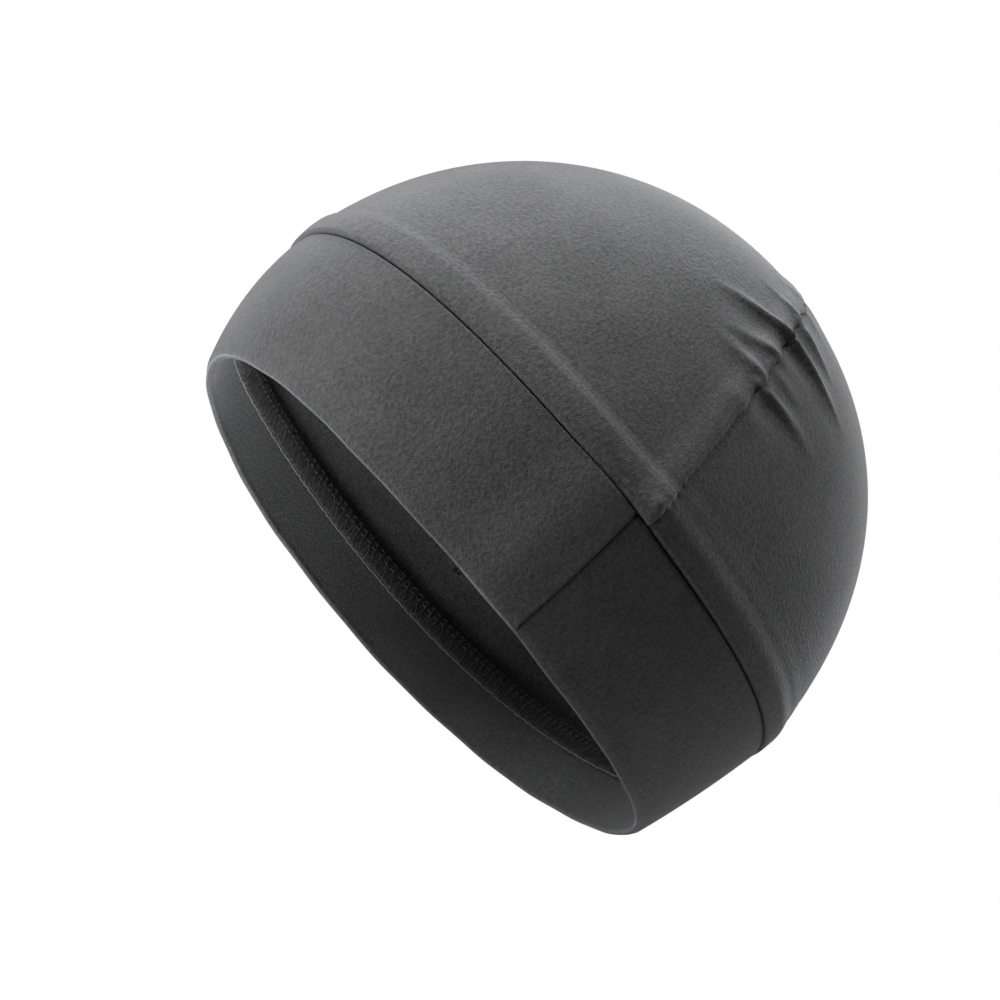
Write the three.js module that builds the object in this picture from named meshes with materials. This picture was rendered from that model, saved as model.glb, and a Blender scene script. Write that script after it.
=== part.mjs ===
// A close-fitting knit cap: a crown of two gathered panels sewn to a doubled band.
// Millimetres. +Z is up the cap, -Y is the front and +X is the wearer's left.
// The origin is the crown's inside at its highest point, where the cap rests on a head.
import * as THREE from 'three';

// Overall sizes, measured on the outside.
const capHeight = 143;
const crownLength = 194;
const crownWidth = 162;
const rimLength = 177;
const rimWidth = 135;
const bandHeight = 40;

// How far the sides hang below the front and back, at the rim and at the seam above the band.
const rimDip = 4.6;
const seamDip = 5;

// How far the rim and the crown's top lie behind the middle of the seam above the band.
const rimShift = 1;
const crownLean = 7;

// The crown is this much fuller than a plain dome, high on its front.
const crownFullness = 2.8;

// 2 makes a true ellipse, more makes the ends and sides squarer.
const squareness = 2.15;

// Cloth thicknesses, and the clearance between pieces that are sewn together.
const crownWall = 1.2;
const bandWall = 2.4;
const clearance = 0.3;

// The crown bulges over the band in a soft roll.
const rollHeight = 9;
const rollDepthFront = 2.2;
const rollDepthBack = 0.4;

// The crown seam runs from side to side, starts behind the middle at its foot and nears the top in
// a gentle curve. Its edges are turned in to stand inside the cap.
const crownSeamSetBack = 13.5;
const crownSeamCurve = 0.7;
const crownSeamDepth = 6;
const crownSeamGroove = 0.7;
const crownSeamSoftness = 1.6;

// The gathers at the top of the crown seam.
const gatherReach = 23;
const gatherRise = 2.8;
const gatherSpread = 2.6;
const gatherStart = 2.5;
const gatherHold = 0.3;

// The band swells a little between its rim and its seam, more at the front.
const bandSwellFront = 2.6;
const bandSwellBack = 0.6;

// The band's upright seam slants, and its edges are pressed towards the front as a flat ridge.
const bandSeamSetBack = 10.7;
const bandSeamSlant = 2.5;
const bandSeamWidth = 8;
const bandSeamRise = 0.8;
const bandRidgeEase = 2;
const bandSeamEase = 1.2;

// The bound edge that is turned down inside the band.
const allowanceWidth = 22;
const allowanceThickness = 1.8;
const allowanceLift = 1.2;

// How finely the cloth is cut into facets.
const stationsRound = 64;
const columnsPerQuarter = 14;
const columnCrowding = 1.7;
const rowStepDegrees = 2.5;
const gathersFromDegrees = 25;

// Roll of the crown above the band: height as a share of rollHeight, outward as a share of the
// roll's depth, which fades from rollDepthFront to rollDepthBack round the cap.
const rollProfile = [
  { up: 0.0, out: -0.1 },
  { up: 0.14, out: 0.5 },
  { up: 0.36, out: 0.9 },
  { up: 0.6, out: 1.0 },
  { up: 0.85, out: 0.6 },
  { up: 1.1, out: 0.1 },
  { up: 1.5, out: -0.12 },
  { up: 2.2, out: 0.0 },
];

// Gathers on each panel. place: degrees down the crown seam from the top. reach, rise: shares of
// gatherReach and gatherRise. lean: degrees that the fold drifts down the side over its whole reach.
const frontGathers = [
  { place: 0, reach: 0.5, rise: 0.25, lean: 0 },
  { place: 9, reach: 0.7, rise: 0.35, lean: 1 },
  { place: 17, reach: 0.6, rise: 0.3, lean: 1 },
  { place: 26, reach: 0.75, rise: 0.45, lean: 2 },
  { place: 34, reach: 0.6, rise: 0.55, lean: 1 },
  { place: 42, reach: 1.0, rise: 1.0, lean: 5 },
  { place: 50, reach: 0.65, rise: 0.7, lean: 5 },
  { place: 57.5, reach: 0.6, rise: 0.5, lean: 1 },
];
const backGathers = [
  { place: 4, reach: 0.5, rise: 0.25, lean: 0 },
  { place: 12, reach: 0.7, rise: 0.35, lean: 1 },
  { place: 20, reach: 0.6, rise: 0.3, lean: 1 },
  { place: 28, reach: 0.75, rise: 0.5, lean: 2 },
  { place: 36, reach: 0.65, rise: 0.7, lean: 2 },
  { place: 43.5, reach: 1.0, rise: 1.0, lean: 2 },
  { place: 53, reach: 0.4, rise: 0.35, lean: 0 },
  { place: 58.5, reach: 0.8, rise: 0.6, lean: -1 },
];

// Band section, once round. up: share of the band's height. in: share of its wall.
// fold: height as a share of the wall, for the rounded fold at the rim.
const bandSection = [
  { up: 0, in: 0.0, fold: 0.5 },
  { up: 0.25, in: 0.0, fold: 0 },
  { up: 0.55, in: 0.0, fold: 0 },
  { up: 0.8, in: 0.0, fold: 0 },
  { up: 1, in: 0.0, fold: 0 },
  { up: 1, in: 1.0, fold: 0 },
  { up: 0.7, in: 1.0, fold: 0 },
  { up: 0.35, in: 1.0, fold: 0 },
  { up: 0, in: 1.0, fold: 0.5 },
  { up: 0, in: 0.75, fold: 0.12 },
  { up: 0, in: 0.5, fold: 0 },
  { up: 0, in: 0.25, fold: 0.12 },
];

// Bound edge section, once round. down: share of allowanceWidth below the band's top edge.
// in: share of its thickness away from the band. lift: share of allowanceLift.
const allowanceSection = [
  { down: 0.0, in: 0.0, lift: 0 },
  { down: 0.0, in: 0.55, lift: 0 },
  { down: 0.6, in: 0.6, lift: 0 },
  { down: 0.68, in: 1.0, lift: 0.1 },
  { down: 0.96, in: 1.0, lift: 0.8 },
  { down: 1.0, in: 0.6, lift: 1 },
  { down: 0.96, in: 0.0, lift: 0.8 },
  { down: 0.66, in: 0.0, lift: 0 },
];

// Places of the band's stations beside its seam, as shares of bandSeamWidth, front first.
const stationsBesideSeam = [-1.6, -1.25, -1, -0.5, -0.15, 0, 0.12, 0.4, 1];

const radians = (degrees) => degrees * Math.PI / 180;
const mix = (from, to, share) => from + (to - from) * share;
const signedPower = (value, power) => Math.sign(value) * Math.abs(value) ** power;

function smoothStep(from, to, value) {
  const share = Math.min(1, Math.max(0, (value - from) / (to - from)));
  return share * share * (3 - 2 * share);
}

// Reads a table at a place between its rows, easing from one row to the next.
function readTable(table, placeKey, valueKey, place) {
  if (place <= table[0][placeKey]) return table[0][valueKey];
  for (let row = 1; row < table.length; row += 1) {
    const before = table[row - 1];
    const after = table[row];
    if (place <= after[placeKey]) {
      const share = smoothStep(before[placeKey], after[placeKey], place);
      return mix(before[valueKey], after[valueKey], share);
    }
  }
  return table[table.length - 1][valueKey];
}

// A point on an oval. The angle starts at the front and turns towards the wearer's left.
function ovalPoint(halfLength, halfWidth, angle, power) {
  const x = halfWidth * signedPower(Math.sin(angle), 2 / power);
  const y = -halfLength * signedPower(Math.cos(angle), 2 / power);
  return new THREE.Vector3(x, y, 0);
}

// The angle at which an oval has passed its middle by a share of its half length.
function angleBehindMiddle(share, power) {
  return Math.acos(-signedPower(share, power / 2));
}

const rimHeightAt = (angle) => -rimDip * Math.sin(angle) ** 2;
const seamHeightAt = (angle) => bandHeight - seamDip * Math.sin(angle) ** 2;

// How far forward a piece of the cap looks: 1 at the front, 0 at the back.
const frontShareAt = (angle) => (1 + Math.cos(angle)) / 2;

// The flat ridge in front of the band's seam, as a share of its full rise.
function bandRidge(behindSeam) {
  const front = smoothStep(-bandSeamWidth - bandRidgeEase, -bandSeamWidth, behindSeam);
  const back = 1 - smoothStep(-bandSeamEase, 0, behindSeam);
  return front * back;
}

// The angle of a station at a given height: those beside the seam follow its slant, which
// crosses the seam's stated place half way up the band.
function stationAngle(station, up) {
  if (station.behindSeam === Infinity) return station.angle;
  const slant = bandSeamSlant * (1 / 2 - up);
  const behindMiddle = bandSeamSetBack + slant + station.behindSeam;
  return angleBehindMiddle(behindMiddle / (crownLength / 2), squareness);
}

// A point of the band. up: share of its height. inset: distance in from its outer face.
function bandPoint(station, up, inset) {
  const angle = stationAngle(station, up);
  const fullness = mix(bandSwellBack, bandSwellFront, frontShareAt(angle));
  const swell = fullness * 4 * up * (1 - up);
  const halfLength = mix(rimLength, crownLength, up) / 2 + swell - inset;
  const halfWidth = mix(rimWidth, crownWidth, up) / 2 + swell - inset;
  const point = ovalPoint(halfLength, halfWidth, angle, squareness);
  point.y += rimShift * (1 - up);
  point.z = mix(rimHeightAt(angle), seamHeightAt(angle), up);
  return point;
}

// Angles of the stations round the band: close beside the seam, then evenly spaced.
function bandStations() {
  const beside = stationsBesideSeam.map((share) => {
    const behindSeam = share * bandSeamWidth;
    const place = (bandSeamSetBack + behindSeam) / (crownLength / 2);
    return { angle: angleBehindMiddle(place, squareness), behindSeam };
  });
  const first = beside[beside.length - 1].angle;
  const last = beside[0].angle + 2 * Math.PI;
  const evenly = [];
  for (let step = 1; step < stationsRound; step += 1) {
    const angle = mix(first, last, step / stationsRound);
    evenly.push({ angle, behindSeam: Infinity });
  }
  return [...beside, ...evenly];
}

// Gathers lift the crown in folds that start at the seam and die out over the panel.
function gatherLift(point, side, behindCrownSeam) {
  const table = side < 0 ? frontGathers : backGathers;
  const distance = Math.abs(behindCrownSeam);
  const sideHeight = bandHeight - seamDip;
  const across = Math.abs(point.x) / (crownWidth / 2);
  const up = (point.z - sideHeight) / (capHeight - sideHeight);
  const down = Math.atan2(across, up);
  const arcPerRadian = (crownWidth / 2 + capHeight - sideHeight) / 2;
  let lift = 0;
  for (const gather of table) {
    const reach = gather.reach * gatherReach;
    const drift = radians(gather.lean) * Math.min(1, distance / reach);
    const off = (down - radians(gather.place) - drift) * arcPerRadian / gatherSpread;
    const start = smoothStep(0, gatherStart, distance);
    const end = 1 - smoothStep(gatherHold * reach, reach, distance);
    lift = Math.max(lift, gather.rise * gatherRise * Math.exp(-off * off) * start * end);
  }
  return lift;
}

// A point of the plain crown, before its gathers and roll. climb: 0 at the seam, 90 degrees on top.
function domePoint(angle, climb) {
  const rise = Math.sin(climb);
  const spread = Math.cos(climb);
  const power = mix(2, squareness, spread);
  const point = ovalPoint(crownLength / 2 * spread, crownWidth / 2 * spread, angle, power);
  point.y += crownLean * rise * rise;
  point.z = mix(seamHeightAt(angle) + clearance, capHeight, rise);
  return point;
}

// The angle of the crown seam at a given climb, on the wearer's left.
function crownSeamAngle(climb) {
  const share = crownSeamSetBack * (1 - Math.sin(climb)) ** crownSeamCurve / (crownLength / 2);
  return angleBehindMiddle(share, mix(2, squareness, Math.cos(climb)));
}

// Distance of the crown seam behind the middle of the rim.
function crownSeamPlace(climb) {
  const rise = Math.sin(climb);
  const setBack = crownSeamSetBack * (1 - rise) ** crownSeamCurve;
  return crownLean * rise * rise + setBack * Math.cos(climb);
}

// The direction that faces straight out of the plain crown.
function domeNormal(angle, climb) {
  const small = 1e-3;
  const highest = Math.PI / 2 - 1e-6;
  if (climb >= highest) return new THREE.Vector3(0, 0, 1);
  const along = domePoint(angle + small, climb).sub(domePoint(angle - small, climb));
  const top = Math.min(climb + small, highest);
  const upward = domePoint(angle, top).sub(domePoint(angle, climb - small));
  return along.cross(upward).normalize();
}

// The crown's outer face: the dome with its roll, its seam groove and its gathers.
function crownPoint(angle, climb, side) {
  const point = domePoint(angle, climb);
  const normal = domeNormal(angle, climb);
  const aboveBand = point.z - seamHeightAt(angle) - clearance;
  const behindSeam = point.y - crownSeamPlace(climb);
  const rollDepth = mix(rollDepthBack, rollDepthFront, frontShareAt(angle));
  const roll = rollDepth * readTable(rollProfile, 'up', 'out', aboveBand / rollHeight);
  const nearness = behindSeam / crownSeamSoftness;
  const groove = crownSeamGroove * Math.exp(-nearness * nearness);
  const lift = gatherLift(point, side, behindSeam);
  const swell = crownFullness * frontShareAt(angle) * Math.sin(climb) ** 2 * Math.sin(2 * climb);
  point.addScaledVector(normal, swell + roll - groove + lift);
  return { point, normal, behindSeam };
}

// Climbs of the crown's rows: close together over the roll, then evenly up to the top.
function crownRows() {
  const sideRise = capHeight - bandHeight + seamDip;
  const climbs = rollProfile.map((row) => Math.asin(row.up * rollHeight / sideRise));
  const first = climbs[climbs.length - 1];
  const step = radians(rowStepDegrees);
  const plainEnd = radians(gathersFromDegrees);
  const wideStep = 2 * step;
  for (let climb = first + wideStep; climb < plainEnd; climb += wideStep) climbs.push(climb);
  const last = climbs[climbs.length - 1];
  const count = Math.round((Math.PI / 2 - last) / step);
  for (let row = 1; row <= count; row += 1) climbs.push(mix(last, Math.PI / 2, row / count));
  return climbs;
}

// Angles of one row's columns from seam to seam, crowded beside the seams. side: -1 front, 1 back.
function crownColumns(climb, side) {
  const seam = crownSeamAngle(climb);
  const middle = side < 0 ? 0 : Math.PI;
  const angles = [];
  for (let column = 0; column < columnsPerQuarter; column += 1) {
    const share = (column / columnsPerQuarter) ** columnCrowding;
    angles.push(mix(seam, middle, share));
  }
  const mirrored = angles.map((angle) => (side < 0 ? -angle : 2 * Math.PI - angle)).reverse();
  return [...angles, middle, ...mirrored];
}

// One closed loop through a panel at a given climb: outer face, turned-in edge, inner face, edge.
function crownLoop(climb, side, isFoot) {
  const outer = [];
  const inner = [];
  const inward = [];
  for (const angle of crownColumns(climb, side)) {
    const { point, normal, behindSeam } = crownPoint(angle, climb, side);
    if (isFoot) normal.setZ(0).normalize();
    const fromSeam = Math.abs(behindSeam);
    const back = point.clone().addScaledVector(normal, -crownWall);
    back.y += side * crownWall * Math.exp(-fromSeam / crownSeamDepth);
    point.y += side * clearance / 2;
    back.y += side * clearance / 2;
    outer.push(point);
    inner.push(back);
    inward.push(new THREE.Vector3(-normal.x, 0, -normal.z).normalize());
  }
  const last = outer.length - 1;
  const edge = (column) => {
    const tip = outer[column].clone().addScaledVector(inward[column], crownSeamDepth);
    const tipInside = tip.clone();
    tipInside.y += side * crownWall;
    return { tip, tipInside };
  };
  const end = edge(last);
  const start = edge(0);
  return [start.tip, ...outer, end.tip, end.tipInside, ...inner.reverse(), start.tipInside];
}

// Joins loops of equal length with triangles. closed: the last loop joins the first one.
function skinLoops(loops, closed) {
  const corners = [];
  const count = loops[0].length;
  const bands = closed ? loops.length : loops.length - 1;
  for (let row = 0; row < bands; row += 1) {
    const low = loops[row];
    const high = loops[(row + 1) % loops.length];
    for (let column = 0; column < count; column += 1) {
      const next = (column + 1) % count;
      corners.push(low[column], low[next], high[next]);
      corners.push(low[column], high[next], high[column]);
    }
  }
  return corners;
}

// Closes the foot of a panel: its loop runs out along one face and back along the other.
function footCorners(loop) {
  const corners = [];
  const half = loop.length / 2;
  for (let column = 0; column < half - 1; column += 1) {
    const across = loop.length - 1 - column;
    const a = loop[column];
    const b = loop[column + 1];
    const c = loop[across - 1];
    const d = loop[across];
    corners.push(b, a, d);
    corners.push(b, d, c);
  }
  return corners;
}

// Turns triangle corners into an indexed geometry with shared vertices and no empty triangles.
function solidFromCorners(corners, flipped) {
  const found = new Map();
  const positions = [];
  const indexOf = (corner) => {
    const key = corner.toArray().map((value) => Math.round(value * 1e4)).join(' ');
    if (!found.has(key)) {
      found.set(key, positions.length / 3);
      positions.push(corner.x, corner.y, corner.z);
    }
    return found.get(key);
  };
  const triangles = [];
  for (let start = 0; start < corners.length; start += 3) {
    const [a, b, c] = corners.slice(start, start + 3).map(indexOf);
    const isEmpty = a === b || b === c || c === a;
    if (!isEmpty) triangles.push(...(flipped ? [a, c, b] : [a, b, c]));
  }
  const geometry = new THREE.BufferGeometry();
  geometry.setAttribute('position', new THREE.Float32BufferAttribute(positions, 3));
  geometry.setIndex(triangles);
  geometry.computeVertexNormals();
  return geometry;
}

function crownPanel(side) {
  const loops = crownRows().map((climb, row) => crownLoop(climb, side, row === 0));
  const corners = [...skinLoops(loops, false), ...footCorners(loops[0])];
  return solidFromCorners(corners, side < 0);
}

function band() {
  const loops = bandStations().map((station) => {
    const rise = bandSeamRise * bandRidge(station.behindSeam);
    return bandSection.map((row) => {
      const outward = rise * (1 - row.in);
      const point = bandPoint(station, row.up, row.in * bandWall - outward);
      point.z += row.fold * bandWall;
      return point;
    });
  });
  return solidFromCorners(skinLoops(loops, true), true);
}

function seamAllowance() {
  const loops = bandStations().map((station) => allowanceSection.map((row) => {
    const lift = row.lift * allowanceLift;
    const inset = bandWall + clearance + row.in * allowanceThickness + lift;
    return bandPoint(station, 1 - row.down * allowanceWidth / bandHeight, inset);
  }));
  return solidFromCorners(skinLoops(loops, true), true);
}

function knit(color, roughness) {
  return new THREE.MeshStandardMaterial({ color, roughness, metalness: 0 });
}

const cap = new THREE.Group();
cap.position.set(0, -crownLean, crownWall - capHeight);

function addPiece(name, geometry, material) {
  const mesh = new THREE.Mesh(geometry, material);
  mesh.name = name;
  cap.add(mesh);
}

addPiece('crown_front_panel', crownPanel(-1), knit(0x3b3b3d, 0.95));
addPiece('crown_back_panel', crownPanel(1), knit(0x3b3b3d, 0.95));
addPiece('band', band(), knit(0x37373a, 0.95));
addPiece('seam_allowance', seamAllowance(), knit(0x2c2c2e, 0.98));

export default cap;
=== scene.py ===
import math

import bmesh
import bpy
import numpy as np
from mathutils import Matrix, Vector


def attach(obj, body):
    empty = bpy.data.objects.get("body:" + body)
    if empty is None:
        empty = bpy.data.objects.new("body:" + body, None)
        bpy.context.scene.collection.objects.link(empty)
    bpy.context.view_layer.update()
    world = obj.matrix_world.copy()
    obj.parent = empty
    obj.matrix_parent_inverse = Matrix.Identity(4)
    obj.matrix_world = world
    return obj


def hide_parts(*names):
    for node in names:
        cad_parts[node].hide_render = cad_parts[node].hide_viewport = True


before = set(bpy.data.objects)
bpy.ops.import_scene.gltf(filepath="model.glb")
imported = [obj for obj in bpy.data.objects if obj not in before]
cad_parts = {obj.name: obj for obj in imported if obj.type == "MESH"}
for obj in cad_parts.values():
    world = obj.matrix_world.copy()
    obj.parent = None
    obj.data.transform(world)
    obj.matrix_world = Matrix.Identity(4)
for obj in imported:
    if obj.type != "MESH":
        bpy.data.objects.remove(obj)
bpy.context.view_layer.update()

# Camera --------------------------------------------------------------------------------------
# The cap is seen from its wearer's left, from below its rim, as if a head held it up. The camera
# is rolled, so the rim runs down across the picture and the hollow opens to the lower left.
camera_place = Vector((0.55096, -0.08959, -0.29005))
camera_azimuth, camera_elevation, camera_roll = map(math.radians, (81.964, -18.48, 47.676))


def way_out(azimuth, elevation):
    """The direction from the cap to what stands at this azimuth and elevation, in radians."""
    return Vector((math.sin(azimuth) * math.cos(elevation),
                   -math.cos(azimuth) * math.cos(elevation), math.sin(elevation)))


back = way_out(camera_azimuth, camera_elevation)
level_right = Vector((math.cos(camera_azimuth), math.sin(camera_azimuth), 0))
right = level_right * math.cos(camera_roll) + back.cross(level_right) * math.sin(camera_roll)
camera = bpy.data.objects.new("camera", bpy.data.cameras.new("camera"))
camera.data.sensor_width = 36
camera.data.lens = 74.13
camera.matrix_world = (Matrix.Translation(camera_place)
                       @ Matrix((right, back.cross(right), back)).transposed().to_4x4())
bpy.context.collection.objects.link(camera)
bpy.context.scene.camera = camera
bpy.context.scene.view_settings.view_transform = "Standard"

# Lights and floor ----------------------------------------------------------------------------
# A wide soft light in front of the brow, four weaker ones round the top and the back, and a faint
# one under the cap that shines up and forwards into the hollow. The floor is pale and lies low.
cap_middle, light_distance = Vector((0, -0.007, -0.07)), 1.3
hollow_light_place, hollow_light_out = Vector((0, -0.03, -0.21)), Vector((0.1, 0.8, -0.6))
floor_radius, floor_drop = 3, 1.1


def area_light(name, shape, width, power, place, out):
    """A light so many metres wide and watts strong, which shines against the direction out."""
    light = bpy.data.objects.new(name, bpy.data.lights.new(name, "AREA"))
    light.data.shape = shape
    light.data.size = width
    light.data.energy = power
    light.matrix_world = (Matrix.Translation(place)
                          @ out.to_track_quat("Z", "Y").to_matrix().to_4x4())
    bpy.context.collection.objects.link(light)
    return light


for name, azimuth, elevation, width, power in (
    ("brow_light", 6, 0, 0.75, 29),
    ("far_light", -30, 50, 0.5, 11.4),
    ("top_light", 60, 72, 0.5, 11),
    ("back_light", 190, 20, 0.5, 3.5),
    ("far_back_light", 230, 48, 0.5, 10.4),
):
    out = way_out(math.radians(azimuth), math.radians(elevation))
    area_light(name, "DISK", width, power, cap_middle + out * light_distance, out)
hollow_light = area_light("hollow_light", "SQUARE", 0.05, 0.15,
                          hollow_light_place, hollow_light_out)
hollow_light.visible_camera = False

# The camera sees a white background, which lights the cap only faintly.
world = bpy.data.worlds.new("studio")
world.use_nodes = True
nodes, links = world.node_tree.nodes, world.node_tree.links
nodes.clear()
seen = nodes.new("ShaderNodeLightPath")
bright, soft = nodes.new("ShaderNodeBackground"), nodes.new("ShaderNodeBackground")
for background, strength in ((bright, 1.0), (soft, 0.01)):
    background.inputs["Strength"].default_value = strength
    background.inputs["Color"].default_value = (1, 1, 1, 1)
choice, world_output = nodes.new("ShaderNodeMixShader"), nodes.new("ShaderNodeOutputWorld")
links.new(seen.outputs["Is Camera Ray"], choice.inputs["Fac"])
links.new(soft.outputs["Background"], choice.inputs[1])
links.new(bright.outputs["Background"], choice.inputs[2])
links.new(choice.outputs["Shader"], world_output.inputs["Surface"])
bpy.context.scene.world = world

floor_mesh = bmesh.new()
bmesh.ops.create_circle(floor_mesh, cap_ends=True, segments=96, radius=floor_radius)
bmesh.ops.translate(floor_mesh, verts=floor_mesh.verts, vec=(0, 0, -floor_drop))
floor = bpy.data.objects.new("floor", bpy.data.meshes.new("floor"))
floor_mesh.to_mesh(floor.data)
floor_mesh.free()
bpy.context.collection.objects.link(floor)
floor_paint = bpy.data.materials.new("floor_paint")
floor_paint.use_nodes = True
floor_shader = floor_paint.node_tree.nodes["Principled BSDF"]
floor_shader.inputs["Base Color"].default_value = (0.86, 0.86, 0.86, 1)
floor_shader.inputs["Roughness"].default_value = 0.9
# The floor glows only where the camera sees it, so it stays pale and adds no light from below.
floor_shader.inputs["Emission Color"].default_value = (0.72, 0.72, 0.72, 1)
floor_seen = floor_paint.node_tree.nodes.new("ShaderNodeLightPath")
floor_paint.node_tree.links.new(floor_seen.outputs["Is Camera Ray"],
                                floor_shader.inputs["Emission Strength"])
floor.data.materials.append(floor_paint)

# Crown ---------------------------------------------------------------------------------------
# Two panels of dark grey stretch knit, brushed to a short fuzz, are sewn together from side to
# side over the top. The seam is drawn in at the top, so both panels stand up in gathers there,
# and their edges are turned in. Lengths are in millimetres from the middle of the rim, y back.
cap_height, crown_length, crown_width = 143.0, 194.0, 162.0
band_height, seam_dip = 40.0, 5.0
crown_lean, crown_fullness, squareness = 7.0, 2.8, 2.15
panel_clearance, knit_thickness, turned_edge = 0.8, 1.2, 6.0
seam_set_back, seam_curve = 13.5, 0.7
side_height = band_height - seam_dip
seam_mm_per_degree = math.radians(crown_width / 2 + cap_height - side_height) / 2
to_row = Vector((0, -crown_lean, knit_thickness - cap_height))
inside_crown, wale_pitch = (0, 0, 60), 0.85
merge_distance, grid_tolerance = 1e-6, 1e-4

# A panel's rows lie at these degrees of climb, closest at its foot, and its columns crowd
# together towards the seam.
row_shares, row_climbs = (0, 0.03, 0.13, 0.25, 0.85, 1), (0, 1, 8.5, 26, 74, 90)
column_crowding, binding_from_row = 1.45, 4

# The foot rolls outwards, by height above the band. Behind it lies the band's seam allowance,
# whose ridge has a section and three heights: everywhere, more beside the seam, more at the brow.
roll_up, roll_out = (0.0, 2.5, 7.0, 12.0, 18.0, 26.0), (0.28, 0.48, 0.5, 0.38, 0.12, 0.0)
ridge_shapes = {"crown_front": ((0.0, 1.5, 5.5, 8.3, 9.6, 11.2, 12.6),
                                (0.75, 0.85, 1.05, 1.0, 0.72, 0.25, 0.0)),
                "crown_back": ((0.0, 1.5, 6.5, 11.5, 16.0), (0.1, 0.35, 1.0, 0.15, 0.0))}
ridge_heights = {"crown_front": (0.65, 1.4, 0.35), "crown_back": (0.65, 0.2, 0.0)}
beside_seam_degrees, brow_degrees = 26, 30
brow_roll_loss, brow_squeeze = 0.55, 0.22
foot_tuck, foot_tuck_span = 1.35, (-0.2, 0.55)

# One row for each gather: degrees down the seam from the top, then in mm its reach over the
# panel, rise and crest width, the depth of the hollow below it, and its drift down in degrees.
gathers = {
    "crown_front": (
        (1, 11, 0.5, 1.8, 0.2, 0), (10, 15, 0.6, 1.6, 0.3, 1), (19, 13, 0.35, 1.6, 0.2, 1),
        (29, 16, 0.35, 1.4, 0.2, 2), (39, 18, 0.9, 1.0, 0.2, 0.3),
        (46.4, 31, 2.2, 1.05, 0.7, 5.6), (52.6, 22, 1.4, 1.3, 0.4, 5.8),
        (59.2, 22, 1.6, 1.2, 0.6, 0.6), (65.5, 10, 0.4, 1.6, 0.2, 1),
    ),
    "crown_back": (
        (4, 11, 0.5, 1.8, 0.2, 0), (14, 15, 0.6, 1.6, 0.3, 1), (23, 13, 0.4, 1.6, 0.2, 1),
        (32, 16, 0.4, 1.4, 0.2, 2), (40, 21, 1.3, 1.0, 0.5, 0.6),
        (46.6, 32, 2.1, 0.95, 1.2, -1.6), (55.6, 18, 0.7, 1.4, 0.2, -0.6),
        (60.7, 28, 1.8, 1.1, 0.8, -3.2), (66.5, 9, 0.3, 1.6, 0.2, 0),
    ),
}
# The far side's gathers sit this many degrees lower. Crests are steep below and gentle above,
# widen with their distance from the seam, and stand on a low skirt.
far_side_shift, gathers_end = 1.7, (60, 70)
crest_below, crest_above, crest_widening = 0.85, 1.35, 0.8
crest_core, crest_skirt, skirt_width = 0.68, 0.32, 2.6
hollow_gap, hollow_width, hollow_fade = 2.4, 3.1, 1.4
even_reach = 2.4

# At the seam: the stitched groove, which is shallower among the gathers, the front panel's step
# up to it, the rise of both panels towards it, the lump at its foot and its zigzag.
stitch_length, stitch_pull, seam_gap = 2.6, 0.25, 0.08
groove_depth, groove_eased, groove_width = 0.9, 0.5, 0.65
lap_rise, lap_span, lap_foot = 0.55, (4, 10), 3
seam_rise, low_seam_rise, low_seam_span, seam_rise_reach = 0.5, 1.1, (45, 75), 14
lump_rise, lump_aside, lump_aside_width, lump_up, lump_up_width = 0.8, 2.6, 1.7, 4.2, 2.0
zigzag_depth, zigzag_start, zigzag_pitch, zigzag_reach = 0.5, 59.2, 6.6, 4.0


def signed_power(value, power):
    return np.sign(value) * np.abs(value) ** power


def smooth_step(start, end, value):
    share = np.clip((value - start) / (end - start), 0, 1)
    return share * share * (3 - 2 * share)


def bump(off, width):
    return np.exp(-(off / width) ** 2)


def eased_table(places, values, at):
    result = np.full(np.shape(at), values[0], dtype=float)
    for before, after, low, high in zip(places, places[1:], values, values[1:]):
        result = result + (high - low) * smooth_step(before, after, at)
    return result


def seam_height(angle):
    return band_height - seam_dip * np.sin(angle) ** 2


def front_share(angle):
    return (1 + np.cos(angle)) / 2


def off_front(angle):
    return np.minimum(angle, 2 * math.pi - angle)


def stitch_pinch(along_seam):
    """How the stitches deepen and ease a seam's groove, as a factor, at so many mm along it."""
    return 1 + stitch_pull * np.sin(2 * math.pi * along_seam / stitch_length)


def dome_point(angle, climb):
    """The plain crown. angle 0 is the front, a quarter turn the wearer's left; climb 0 the foot."""
    rise, spread = np.sin(climb), np.cos(climb)
    power = 2 + (squareness - 2) * spread
    x = crown_width / 2 * spread * signed_power(np.sin(angle), 2 / power)
    y = -crown_length / 2 * spread * signed_power(np.cos(angle), 2 / power)
    low = seam_height(angle) + panel_clearance
    return np.stack((x, y + crown_lean * rise ** 2, low + (cap_height - low) * rise), 1)


def crown_seam_angle(climb):
    power = 2 + (squareness - 2) * np.cos(climb)
    share = seam_set_back * (1 - np.sin(climb)) ** seam_curve / (crown_length / 2)
    return np.arccos(-signed_power(share, power / 2))


def gather_relief(name, down, distance, far_side):
    """The gathers of one panel, in mm, at so many degrees down the seam and mm from it."""
    lift, hollows = np.zeros(len(down)), np.zeros(len(down))
    for place, reach, height, width, hollow, drift in gathers[name]:
        share = np.minimum(1, distance / reach)
        off = (down - place - far_side * far_side_shift - drift * share) * seam_mm_per_degree
        wide = width * (1 + crest_widening * share) * np.where(off > 0, crest_below, crest_above)
        crest = crest_core * bump(off, wide) + crest_skirt * bump(off, skirt_width * wide)
        lift = np.maximum(lift, height * crest * (1 - share ** 2) ** 2)
        hollows += (hollow * bump(off - 1.5 * width - hollow_gap, hollow_width + share)
                    * (1 - share) ** hollow_fade)
    return lift - hollows


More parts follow.
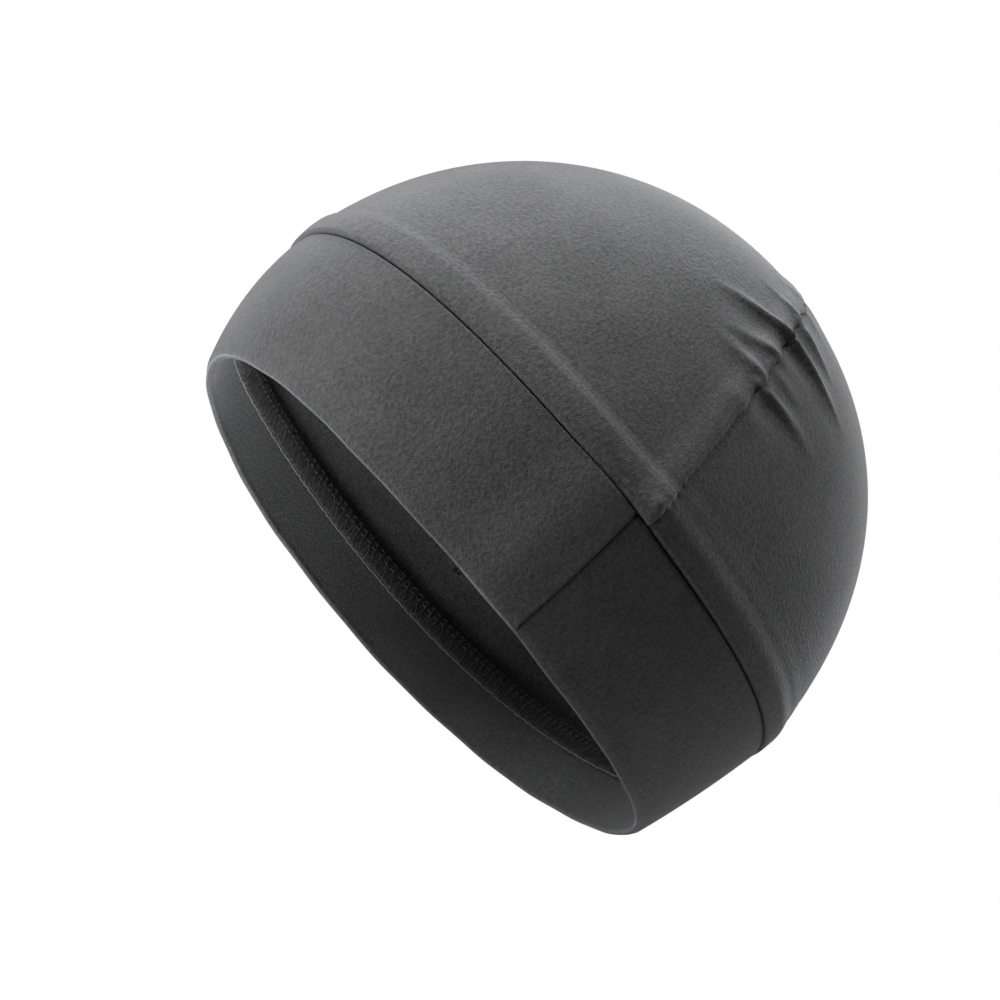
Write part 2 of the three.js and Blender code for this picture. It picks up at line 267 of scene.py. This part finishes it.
def crown_relief(angle, climb, plain, name):
    """How far the knit stands out of the plain crown, and how far its seam wanders back."""
    rise = np.sin(climb)
    above_band = plain[:, 2] - seam_height(angle) - panel_clearance
    seam_place = (crown_lean * rise ** 2
                  + seam_set_back * np.clip(1 - rise, 0, 1) ** seam_curve * np.cos(climb))
    distance = np.abs(plain[:, 1] - seam_place)
    down = np.degrees(np.arctan2(np.abs(plain[:, 0]) / (crown_width / 2),
                                 (plain[:, 2] - side_height) / (cap_height - side_height)))
    on_front, far_side = name == "crown_front", plain[:, 0] < 0
    swell = crown_fullness * front_share(angle) * rise ** 2 * np.sin(2 * climb)

    off_side = 90 - np.degrees(np.arcsin(np.clip(np.abs(plain[:, 0]) / crown_width * 2, 0, 1)))
    beside_seam = bump(off_side, beside_seam_degrees)
    at_brow = bump(np.degrees(off_front(angle)), brow_degrees)
    everywhere, more_beside_seam, more_at_brow = ridge_heights[name]
    pressed = everywhere + more_beside_seam * beside_seam + more_at_brow * at_brow
    roll = ((1 - brow_roll_loss * at_brow) * eased_table(roll_up, roll_out, above_band)
            + pressed * eased_table(*ridge_shapes[name], above_band * (1 + brow_squeeze * at_brow))
            - foot_tuck * (1 - smooth_step(*foot_tuck_span, above_band)))

    # Both panels are gathered to one seam, so beside it they come to the same height.
    at_seam = {panel: gather_relief(panel, down, 0 * distance, far_side) for panel in gathers}
    gathered_lift = (gather_relief(name, down, distance, far_side)
                     + (sum(at_seam.values()) / 2 - at_seam[name]) * bump(distance, even_reach))
    gathered = 1 - smooth_step(*gathers_end, down)
    groove = ((groove_depth - groove_eased * gathered) * bump(distance, groove_width)
              * stitch_pinch(down * seam_mm_per_degree))

    # The seam's edges are pressed forward, so the front panel stands up to the seam and the back
    # panel falls away from it.
    lap = (on_front * lap_rise * (1 - smooth_step(*lap_span, distance))
           * smooth_step(0, lap_foot, above_band))
    corner = ((seam_rise + low_seam_rise * smooth_step(*low_seam_span, down))
              * np.exp(-distance / seam_rise_reach))
    lump = (lump_rise * bump(distance - lump_aside, lump_aside_width)
            * bump(above_band - lump_up, lump_up_width) * on_front)
    # The front panel's crests push the seam back at their ends, which makes it a zigzag.
    wander = (zigzag_depth * np.cos(2 * math.pi * (down - zigzag_start) / zigzag_pitch)
              * gathered * bump(distance, zigzag_reach))
    return swell + roll + gathered_lift - groove + lap + corner + lump, wander


def knit_material(name, light_tone, dark_tone, fuzz_bump, sheen):
    """Brushed stretch knit: heather of light and dark fibres, faint wales, and a short fuzz."""
    if "brushed_knit" not in bpy.data.node_groups:
        group = bpy.data.node_groups.new("brushed_knit", "ShaderNodeTree")
        for label, kind, way in (
            ("Light Fibres", "Color", "INPUT"), ("Dark Fibres", "Color", "INPUT"),
            ("Wale Pitch", "Float", "INPUT"), ("Color", "Color", "OUTPUT"),
            ("Roughness", "Float", "OUTPUT"), ("Height", "Float", "OUTPUT"),
        ):
            group.interface.new_socket(name=label, in_out=way, socket_type="NodeSocket" + kind)
        node, link = group.nodes.new, group.links.new
        given, result = node("NodeGroupInput"), node("NodeGroupOutput")
        place = node("ShaderNodeTexCoord")

        def noise(scale, detail, roughness):
            texture = node("ShaderNodeTexNoise")
            texture.inputs["Scale"].default_value = scale
            texture.inputs["Detail"].default_value = detail
            texture.inputs["Roughness"].default_value = roughness
            link(place.outputs["Object"], texture.inputs["Vector"])
            return texture.outputs["Fac"]

        def math_node(operation, first, second=None, third=None):
            step = node("ShaderNodeMath")
            step.operation = operation
            for socket, value in zip(step.inputs, (first, second, third)):
                if isinstance(value, (int, float)):
                    socket.default_value = value
                elif value is not None:
                    link(value, socket)
            return step.outputs["Value"]

        def weighted_sum(first, *others):
            """Adds up pairs of a value and its weight."""
            total = math_node("MULTIPLY", *first)
            for value, weight in others:
                total = math_node("MULTIPLY_ADD", value, weight, total)
            return total

        # Wales run up the cloth and courses across it; the brushing blurs both.
        cloth = node("ShaderNodeSeparateXYZ")
        link(place.outputs["UV"], cloth.inputs["Vector"])
        turns = math_node("DIVIDE", 2 * math.pi, given.outputs["Wale Pitch"])
        waver = math_node("MULTIPLY", noise(420, 2, 0.5), 3.4)
        wales = math_node("SINE", math_node("MULTIPLY_ADD", cloth.outputs["X"], turns, waver))
        courses = math_node("SINE", math_node("MULTIPLY_ADD", cloth.outputs["Y"], turns, waver))
        loops = math_node("MULTIPLY_ADD", wales, courses, 1.0)

        fuzz, fibres, cloud = noise(950, 3, 0.6), noise(3600, 2, 0.5), noise(55, 3, 0.55)
        height = weighted_sum((fibres, 0.3), (fuzz, 0.85), (loops, 0.045))
        tone = weighted_sum((fibres, 0.5), (fuzz, 1.2), (cloud, 0.45), (loops, 0.05))
        spread = node("ShaderNodeMapRange")
        spread.inputs["From Min"].default_value = 0.85
        spread.inputs["From Max"].default_value = 1.45
        link(tone, spread.inputs["Value"])
        colour = node("ShaderNodeMix")
        colour.data_type = "RGBA"
        link(spread.outputs["Result"], colour.inputs["Factor"])
        link(given.outputs["Dark Fibres"], colour.inputs["A"])
        link(given.outputs["Light Fibres"], colour.inputs["B"])
        link(colour.outputs["Result"], result.inputs["Color"])
        link(math_node("MULTIPLY_ADD", fibres, -0.2, 0.98), result.inputs["Roughness"])
        link(height, result.inputs["Height"])

    material = bpy.data.materials.new(name)
    material.use_nodes = True
    nodes, links = material.node_tree.nodes, material.node_tree.links
    shader = nodes["Principled BSDF"]
    knit = nodes.new("ShaderNodeGroup")
    knit.node_tree = bpy.data.node_groups["brushed_knit"]
    knit.inputs["Light Fibres"].default_value = (*light_tone, 1)
    knit.inputs["Dark Fibres"].default_value = (*dark_tone, 1)
    knit.inputs["Wale Pitch"].default_value = wale_pitch / 1000
    relief = nodes.new("ShaderNodeBump")
    relief.inputs["Strength"].default_value = 0.55
    relief.inputs["Distance"].default_value = fuzz_bump
    links.new(knit.outputs["Color"], shader.inputs["Base Color"])
    links.new(knit.outputs["Roughness"], shader.inputs["Roughness"])
    links.new(knit.outputs["Height"], relief.inputs["Height"])
    links.new(relief.outputs["Normal"], shader.inputs["Normal"])
    shader.inputs["Specular IOR Level"].default_value = 0.18
    shader.inputs["Sheen Weight"].default_value = sheen
    shader.inputs["Sheen Roughness"].default_value = 0.55
    shader.inputs["Sheen Tint"].default_value = (0.75, 0.76, 0.78, 1)
    return material


def flat_grid(columns, rows):
    """A grid to be shaped, and the places of its vertices, from -1 to 1 in both directions."""
    mesh = bmesh.new()
    bmesh.ops.create_grid(mesh, x_segments=columns, y_segments=rows, size=1)
    return mesh, np.array([vert.co for vert in mesh.verts], dtype=float)


def place_verts(mesh, points):
    """Puts the vertices at these points, from cap millimetres to the row frame in metres."""
    for vert, point in zip(mesh.verts, points):
        vert.co = (Vector(point) + to_row) / 1000


def lay_weave(mesh, across, along):
    """Stores the cloth's own directions as UV: metres across it and along its wales."""
    weave = mesh.loops.layers.uv.new("weave")
    mesh.verts.index_update()
    for face in mesh.faces:
        for loop in face.loops:
            index = loop.vert.index
            loop[weave].uv = (across[index], along[index])


def cloth_piece(name, mesh, material, thickness=None):
    """Makes the finished mesh a smooth object, with a wall inwards from its face."""
    piece = bpy.data.objects.new(name, bpy.data.meshes.new(name))
    mesh.to_mesh(piece.data)
    mesh.free()
    piece.data.shade_smooth()
    piece.data.materials.append(material)
    bpy.context.collection.objects.link(piece)
    if thickness:
        wall = piece.modifiers.new("wall", "SOLIDIFY")
        wall.thickness = thickness / 1000
        wall.offset = -1
        wall.use_even_offset = False
    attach(piece, "root")
    return piece


crown_knit = knit_material("crown_brushed_knit", light_tone=(0.098, 0.098, 0.1),
                           dark_tone=(0.03, 0.03, 0.031), fuzz_bump=0.00065, sheen=0.35)
for name, node, middle in (("crown_front", "crown_front_panel", 0.0),
                           ("crown_back", "crown_back_panel", math.pi)):
    panel, flat = flat_grid(150, 260)
    climb = np.radians(np.interp((flat[:, 1] + 1) / 2, row_shares, row_climbs))
    from_seam = np.clip(1 - np.abs(flat[:, 0]), 0, 1) ** column_crowding
    seam = crown_seam_angle(climb)
    angle = seam + (middle - seam) * from_seam
    angle = np.where(flat[:, 0] > 0, 2 * middle - angle, angle)
    plain = dome_point(angle, climb)
    place_verts(panel, plain)
    reach = np.abs(angle - middle) * (crown_length + crown_width) / 4 * np.cos(climb)
    lay_weave(panel, np.sign(flat[:, 0]) * reach / 1000,
              climb * (crown_length / 2 + cap_height - band_height) / 2 / 1000)

    bmesh.ops.recalc_face_normals(panel, faces=panel.faces)
    panel.normal_update()
    facing = np.array([vert.normal for vert in panel.verts])
    if (facing * (plain - inside_crown)).sum() < 0:
        bmesh.ops.reverse_faces(panel, faces=panel.faces)
        facing = -facing
    relief, wander = crown_relief(angle, climb, plain, name)
    shaped = plain + facing * relief[:, None]
    shaped[:, 1] += wander + (seam_gap if middle else -seam_gap)
    place_verts(panel, shaped)
    if name == "crown_front":
        # The seam's line, up one side and down the other, for the binding inside it.
        sides = [np.flatnonzero(np.abs(flat[:, 0] - side) < grid_tolerance) for side in (-1, 1)]
        up_left, up_right = (shaped[rows[np.argsort(flat[rows, 1])]] for rows in sides)
        up_left, down_right = up_left[binding_from_row:], up_right[binding_from_row:-1][::-1]
        crown_seam_line = np.concatenate((up_left, down_right)) + (0, seam_gap, 0)

    # The edges at the seam and the foot are turned in by running them inwards in short steps.
    turned_in = []
    for on_edge, turn, steps in (
        (np.abs(np.abs(flat[:, 0]) - 1) < grid_tolerance, (1, 0, 1), (0.5, 1.6, turned_edge)),
        (np.abs(flat[:, 1] + 1) < grid_tolerance, (1, 1, 0), (0.4, 1.1)),
    ):
        edges = [edge for edge in panel.edges
                 if edge.is_boundary and all(on_edge[vert.index] for vert in edge.verts)]
        start = {vert: (vert.co.copy(), -Vector(facing[vert.index] * turn).normalized())
                 for edge in edges for vert in edge.verts}
        turned_in.append((edges, start, steps))
    for edges, start, steps in turned_in:
        for step in steps:
            made = bmesh.ops.extrude_edge_only(panel, edges=edges)["geom"]
            new = {part for part in made if isinstance(part, bmesh.types.BMVert)}
            edges = [part for part in made if isinstance(part, bmesh.types.BMEdge)
                     and all(vert in new for vert in part.verts)]
            for vert in new:
                old = next(edge.other_vert(vert) for edge in vert.link_edges
                           if edge.other_vert(vert) not in new)
                start[vert] = start[old]
                vert.co = start[vert][0] + start[vert][1] * step / 1000
    bmesh.ops.remove_doubles(panel, verts=panel.verts, dist=merge_distance)
    cloth_piece(name, panel, crown_knit, knit_thickness)
    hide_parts(node)

# Band ----------------------------------------------------------------------------------------
# One strip of the same knit, closed to a ring by an upright seam on the wearer's left and folded
# double along the rim. The seam's edges are pressed to the front, where the band stands up to it.
rim_length, rim_width, rim_shift, rim_dip = 177.0, 135.0, 1.0, 4.6
band_wall, layer_thickness = 2.4, 0.95
fold_radius, layer_rows, fold_rows, fold_start = band_wall / 2, 36, 9, 0.04
swell_front, swell_back = 2.6, 0.6
band_seam_set_back, band_seam_slant, slant_reach = 10.7, 2.5, 30
seam_angle = math.acos(-((band_seam_set_back / (crown_length / 2)) ** (squareness / 2)))

# Distances from the band's seam are in mm, behind it above zero. Its bulk pushes the band out
# round a corner, its edges make a flat ridge in front of it, and its stitches sink a groove.
seam_bulk, seam_bulk_reach, seam_bulk_taper = 2.1, 16.0, 0.2
corner_before, corner_behind = 6.0, 0.5
ridge_rise, inner_ridge_rise = 1.0, 0.3
ridge_foot, ridge_full, ridge_edge, ridge_end = -24.0, -9.0, -1.1, 0.25
sink_depth, inner_sink, sink_place, sink_width, sink_above_rim = 2.0, -0.3, 0.05, 0.38, 0.06
top_tuck, top_tuck_from = 0.1, 0.98
column_plenty, peak_plenty, peak_reach, wide_plenty, wide_reach = 0.75, 4.0, 2, 0.9, 12


def mm_behind_seam(angle):
    return (angle - seam_angle) * (crown_length + rim_length) / 4


def waves(along, *parts):
    """A fixed waver, the sum of its parts: each has a height, a pace along it and a start."""
    return sum(height * np.sin(along * pace + start) for height, pace, start in parts)


def band_point(angle, up, inset):
    """The band's outer face, or a face inset from it. up is 0 at the rim and 1 at the crown."""
    behind = mm_behind_seam(angle)
    rounding = np.where(behind < 0, corner_before, corner_behind)
    off_corner = np.sqrt(behind ** 2 + rounding ** 2) - rounding
    inset = inset - (seam_bulk * (1 - seam_bulk_taper * up)
                     * np.exp(-off_corner / seam_bulk_reach))
    swell = (swell_back + (swell_front - swell_back) * front_share(angle)) * 4 * up * (1 - up)
    half_length = (rim_length + (crown_length - rim_length) * up) / 2 + swell - inset
    half_width = (rim_width + (crown_width - rim_width) * up) / 2 + swell - inset
    x = half_width * signed_power(np.sin(angle), 2 / squareness)
    y = -half_length * signed_power(np.cos(angle), 2 / squareness) + rim_shift * (1 - up)
    rim_height = -rim_dip * np.sin(angle) ** 2
    return np.stack((x, y, rim_height + (seam_height(angle) - rim_height) * up), 1)


# Columns stand closest together beside the seam. Their places are angles round the band.
round_places = np.linspace(0, 2 * math.pi, 4001)
behind = mm_behind_seam(round_places)
plenty = (column_plenty + peak_plenty * bump(behind, peak_reach)
          + wide_plenty * bump(behind, wide_reach))
column_count = np.concatenate(((0,), np.cumsum((plenty[1:] + plenty[:-1]) / 2)))
column_count /= column_count[-1]

# The section runs down the outer layer, round the fold at the rim and up the inner layer.
section_up = np.concatenate((np.linspace(1, fold_start, layer_rows), np.zeros(fold_rows),
                             np.linspace(fold_start, 1, layer_rows)))
fold_turn = np.concatenate((np.zeros(layer_rows), np.linspace(0, math.pi, fold_rows + 2)[1:-1],
                            np.full(layer_rows, math.pi)))
section_inset = fold_radius * (1 - np.cos(fold_turn))
section_lift = fold_radius * (1 - np.sin(fold_turn)) * (section_up == 0)

band, flat = flat_grid(430, len(section_up) - 1)
angle = np.interp((flat[:, 0] + 1) / 2, column_count, round_places)
section = (flat[:, 1] + 1) / 2 * (len(section_up) - 1)
up, inset, lift = (np.interp(section, np.arange(len(section_up)), values)
                   for values in (section_up, section_inset, section_lift))
on_outside = inset < fold_radius
behind = mm_behind_seam(angle)
tuck = top_tuck * smooth_step(top_tuck_from, 1, up)
ridge = (smooth_step(ridge_foot, ridge_full, behind)
         * (1 - 0.5 * smooth_step(ridge_full, ridge_edge, behind)
            - 0.5 * smooth_step(ridge_edge, ridge_end, behind)))
sink = (sink_depth * bump(behind - sink_place, sink_width) * stitch_pinch(up * band_height)
        * np.where(on_outside, 1, inner_sink) * smooth_step(0, sink_above_rim, up))
proud = np.where(on_outside, ridge * ridge_rise, inner_ridge_rise * ridge)
shaped = band_point(angle, up, inset + np.where(on_outside, 1, -1) * (tuck - proud + sink))
shaped[:, 2] += lift + waves(angle, (0.12, 9, 1.3), (0.08, 23, 0)) * (1 - up)
shaped[:, 1] += band_seam_slant * (0.5 - up) * bump(behind, slant_reach)
place_verts(band, shaped)
lay_weave(band, behind / 1000, np.where(on_outside, 1, -1) * up * band_height / 1000)
bmesh.ops.remove_doubles(band, verts=band.verts, dist=merge_distance)
bmesh.ops.recalc_face_normals(band, faces=band.faces)
band.normal_update()
rearmost = max(band.verts, key=lambda vert: vert.co.y)
if rearmost.normal.y < 0:
    bmesh.ops.reverse_faces(band, faces=band.faces)
band_knit = knit_material("band_brushed_knit", light_tone=(0.09, 0.09, 0.092),
                          dark_tone=(0.034, 0.034, 0.035), fuzz_bump=0.0007, sheen=0.35)
band_piece = cloth_piece("band_cloth", band, band_knit, layer_thickness)
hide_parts("band")

# Overlocked edge -----------------------------------------------------------------------------
# Where crown and band are sewn together, their edges are bound in one and turned down inside the
# band. The bound edge is bulky and stands a little off the band's inner face.
edge_width, edge_lift, bound_from = 20.5, 1.4, 11.5
front_sag, sag_reach = 9.0, math.radians(45)
edge_drop, edge_gap, stitch_swell, stitch_turns = 0.4, 0.15, 0.12, 180
# Between these depths down the cloth, in metres, the overlocked edge's colour darkens as painted
# shade of the recess above the bound edge.
painted_shade_from, painted_shade_to = 0.004, 0.0105

# The edge's section: mm down from the band's top edge and out from its inner face. The face
# towards the hollow comes first, then the cut edge and the side that lies on the band.
face_down = (-7, -5, -1, 3, 6.5, 9, 11, 12.5, 15, 19)
face_out = (0.3, 0.9, 0.9, 0.9, 0.7, 0.25, 0.5, 2.0, 2.6, 2.4)
edge_down = (*face_down, 20.5, 19.6, 16, 11, 6, 0, -4)
edge_out = (*face_out, 1.5, 0.6, 0.3, 0.0, 0.0, 0.0, 0.0)


def inner_point(angle, down, out):
    """A place inside the band: down in mm from its top edge, out in mm off its inner face."""
    height = band_height - (seam_dip - rim_dip) * np.sin(angle) ** 2
    hang = edge_lift * smooth_step(bound_from, edge_width, down)
    lower = down + front_sag * bump(off_front(angle), sag_reach) * smooth_step(0, bound_from, down)
    # Above the band the edge lies against the crown, which no longer widens upwards.
    point = band_point(angle, np.minimum(1, 1 - lower / height), band_wall + out + hang)
    point[:, 2] += np.maximum(0, -lower)
    return point


strip, flat = flat_grid(420, 44)
angle = (flat[:, 0] + 1) * math.pi
section = (flat[:, 1] + 1) / 2 * len(edge_down)
places = np.arange(len(edge_down) + 1)
down = np.interp(section, places, edge_down + edge_down[:1])
out = np.interp(section, places, edge_out + edge_out[:1])
bound = smooth_step(bound_from, edge_width, down)
ruffle = waves(angle, (0.22, 61, 0), (0.18, 97, 0.6)) * bound
stitched_out = out + edge_gap + stitch_swell * np.sin(angle * stitch_turns) * bound
place_verts(strip, inner_point(angle, down + ruffle + edge_drop, stitched_out))
lay_weave(strip, angle * crown_length / 2000, down / 1000)
bmesh.ops.remove_doubles(strip, verts=strip.verts, dist=merge_distance)
bmesh.ops.recalc_face_normals(strip, faces=strip.faces)
bmesh.ops.smooth_vert(strip, verts=strip.verts, factor=0.4, use_axis_x=True, use_axis_y=True,
                      use_axis_z=True)
edge_knit = knit_material("overlocked_knit", light_tone=(0.055, 0.055, 0.057),
                          dark_tone=(0.012, 0.012, 0.012), fuzz_bump=0.0012, sheen=0.25)
# The plain cloth above the threads has the crown's paler tone. Below it the colour darkens, as
# painted shade for the shadow in the recess above the bound edge, to the bound edge's darker tone
# among the threads.
nodes, links = edge_knit.node_tree.nodes, edge_knit.node_tree.links
knit = next(node for node in nodes if node.type == "GROUP")
cloth_place, cloth_axes = nodes.new("ShaderNodeTexCoord"), nodes.new("ShaderNodeSeparateXYZ")
links.new(cloth_place.outputs["UV"], cloth_axes.inputs["Vector"])
# Each fibre tone runs from the crown's tone to the edge's dark tone, the span between being painted
# shade.
for socket, plain_tone, edge_and_shade_tone in (("Light Fibres", 0.098, 0.055),
                                       ("Dark Fibres", 0.03, 0.012)):
    blend = nodes.new("ShaderNodeMapRange")
    blend.interpolation_type = "SMOOTHSTEP"
    blend.inputs["From Min"].default_value = painted_shade_from
    blend.inputs["From Max"].default_value = painted_shade_to
    blend.inputs["To Min"].default_value = plain_tone
    blend.inputs["To Max"].default_value = edge_and_shade_tone
    links.new(cloth_axes.outputs["Y"], blend.inputs["Value"])
    links.new(blend.outputs["Result"], knit.inputs[socket])
strip_piece = cloth_piece("overlocked_edge", strip, edge_knit)
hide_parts("seam_allowance")

# Overlock threads ----------------------------------------------------------------------------
# Fuzzy polyester threads bind the edge: two looper threads run to and fro over it and lock along
# its cut edge in a chain, and two rows of needle stitches hold it down.
thread_width, chain_width, stitches_round, stitch_points = 0.34, 0.28, 216, 12
jitter, looper_sway = 0.5, 0.2
chain_down, chain_bob, chain_jitter = 21.2, 0.1, 0.12
chain_out, chain_sway, chain_slip = 1.75, 0.15, 0.002
needle_rows, needle_jitter, needle_pace = (13.2, 15.4), 0.15, 3.7
needle_shares, needle_heights = np.array((0.1, 0.3, 0.6, 0.85)), np.array((-0.5, 0.3, 0.3, -0.5))


def thread_material(name, tone):
    """Fuzzy spun thread of this tone, darker between its fibres and lighter on them."""
    material = bpy.data.materials.new(name)
    material.use_nodes = True
    nodes, links = material.node_tree.nodes, material.node_tree.links
    shader = nodes["Principled BSDF"]
    place, fluff, tint = (nodes.new("ShaderNodeTexCoord"), nodes.new("ShaderNodeTexNoise"),
                          nodes.new("ShaderNodeMix"))
    fluff.inputs["Scale"].default_value = 2600
    fluff.inputs["Detail"].default_value = 3
    tint.data_type = "RGBA"
    for socket, share in (("A", 0.45), ("B", 1.5)):
        tint.inputs[socket].default_value = (*(value * share for value in tone), 1)
    relief = nodes.new("ShaderNodeBump")
    relief.inputs["Strength"].default_value = 0.7
    relief.inputs["Distance"].default_value = 0.0003
    links.new(place.outputs["Object"], fluff.inputs["Vector"])
    links.new(fluff.outputs["Fac"], tint.inputs["Factor"])
    links.new(tint.outputs["Result"], shader.inputs["Base Color"])
    links.new(fluff.outputs["Fac"], relief.inputs["Height"])
    links.new(relief.outputs["Normal"], shader.inputs["Normal"])
    shader.inputs["Roughness"].default_value = 0.75
    shader.inputs["Specular IOR Level"].default_value = 0.3
    shader.inputs["Sheen Weight"].default_value = 0.3
    return material


def thread_piece(name, runs, width, material, closed=False):
    """Threads through the given runs of points, in cap millimetres, as one curve object."""
    curve = bpy.data.curves.new(name, "CURVE")
    curve.dimensions = "3D"
    curve.bevel_depth = width / 2000
    curve.bevel_resolution = 1
    curve.use_fill_caps = True
    for run in runs:
        spline = curve.splines.new("POLY")
        spline.points.add(len(run) - 1)
        spline.use_cyclic_u = closed
        for point, place in zip(spline.points, run):
            point.co = (*((Vector(place) + to_row) / 1000), 1)
    curve.materials.append(material)
    piece = bpy.data.objects.new(name, curve)
    bpy.context.collection.objects.link(piece)
    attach(piece, "root")
    return piece


edge_thread = thread_material("overlock_thread", (0.045, 0.045, 0.046))
# The chain is the loopers' own thread. Its much paler tone is painted highlight for the light
# caught along the free edge.
painted_highlight_chain_thread = thread_material("edge_chain_painted_highlight", (0.22, 0.22, 0.224))
needle_thread = thread_material("needle_thread", (0.09, 0.09, 0.092))
turn = np.arange(stitches_round * stitch_points) / (stitches_round * stitch_points)
phase = turn * stitches_round * 2 * math.pi
uneven = waves(turn, (0.5, 431, 0), (0.4, 977, 1), (0.4, 701, 2))
# The upper looper swings widest and the lower one lags behind it. A row has a looper's middle and
# swing in mm down, its lag and unevenness, its slip round the band, and its way off the face.
for name, middle, swing, lag, unevenness, slip, slip_start, off_face, sway_start in (
    ("upper_looper", 17.2, 3.6, 0, 0.8, 0.004, 0, 0.25, 0),
    ("lower_looper", 18.2, 2.4, 1.9, -0.9, 0.003, 1, 0.2, 2.4),
):
    down = middle + swing * np.cos(phase + lag + unevenness * uneven) + jitter * uneven
    run = inner_point(turn * 2 * math.pi + slip * np.sin(phase * 2 + slip_start), down,
                      np.interp(down, face_down, face_out) + off_face
                      + looper_sway * np.sin(phase + sway_start))
    thread_piece(name, [run], thread_width, edge_thread, closed=True)
locked = inner_point(turn * 2 * math.pi + chain_slip * np.cos(phase * 2),
                     chain_down + chain_bob * np.sin(phase) + chain_jitter * uneven,
                     chain_out + chain_sway * np.cos(phase))
thread_piece("edge_chain", [locked], chain_width, painted_highlight_chain_thread, closed=True)
needle_runs = []
for row in needle_rows:
    for stitch in range(stitches_round):
        place = (stitch + needle_shares) / stitches_round * 2 * math.pi
        down = np.full(len(place), row) + needle_jitter * math.sin(stitch * needle_pace)
        needle_runs.append(inner_point(place, down,
                                       np.interp(row, face_down, face_out) + needle_heights))
thread_piece("needle_threads", needle_runs, thread_width, needle_thread)

# Crown seam binding --------------------------------------------------------------------------
# The turned-in edges of the two crown panels are overlocked together inside the crown. The bound
# edge runs from the band on one side over the top to the other, with a looper thread round it.
binding_depth, binding_half_height, binding_half_width = 4.9, 1.9, 1.6
binding_squareness, binding_length, binding_weave_from = 0.7, 0.35, 0.012
binding_stitches, binding_stitch_points = 134, 14
looper_above, looper_aside, looper_waver, looper_pace = 0.12, 0.15, 0.1, 733
outwards = crown_seam_line - (0, 0, side_height)
outwards[:, 0] /= (crown_width / 2) ** 2
outwards[:, 2] /= (cap_height - side_height) ** 2
inwards = -outwards * (1, 0, 1)
inwards /= np.linalg.norm(inwards, axis=1)[:, None]


def binding_point(along, depth, side):
    """A place at the crown seam: along from 0 to 1, depth in mm inside it, side in mm behind it."""
    marks = np.arange(len(crown_seam_line))
    line, way = (np.stack([np.interp(along * marks[-1], marks, column) for column in table.T], 1)
                 for table in (crown_seam_line, inwards))
    return line + way * np.reshape(depth, (-1, 1)) + np.outer(side, (0, 1, 0))


binding, flat = flat_grid(18, 420)
turn, along = (flat[:, 0] + 1) * math.pi, (flat[:, 1] + 1) / 2
ruffle = waves(along, (0.1, 517, 0), (0.07, 893, 1))
height = binding_half_height * signed_power(np.cos(turn), binding_squareness) * (1 + ruffle)
width = binding_half_width * signed_power(np.sin(turn), binding_squareness) + ruffle
place_verts(binding, binding_point(along, binding_depth + height, width))
# Its UV lies wholly beyond the plain cloth of the knit's blend, so all of it has the dark tone.
lay_weave(binding, along * binding_length, binding_weave_from + turn / 1000)
bmesh.ops.remove_doubles(binding, verts=binding.verts, dist=merge_distance)
bmesh.ops.holes_fill(binding, edges=[edge for edge in binding.edges if edge.is_boundary], sides=0)
bmesh.ops.recalc_face_normals(binding, faces=binding.faces)
binding_piece = cloth_piece("crown_seam_binding", binding, edge_knit)

along = np.linspace(0.002, 0.998, binding_stitches * binding_stitch_points)
turn = along * binding_stitches * 2 * math.pi
binding_run = binding_point(
    along, binding_depth + (binding_half_height + looper_above) * np.cos(turn),
    (binding_half_width + looper_aside) * np.sin(turn)
    + looper_waver * np.sin(along * looper_pace))
binding_thread = thread_piece("crown_seam_looper", [binding_run], thread_width, edge_thread)
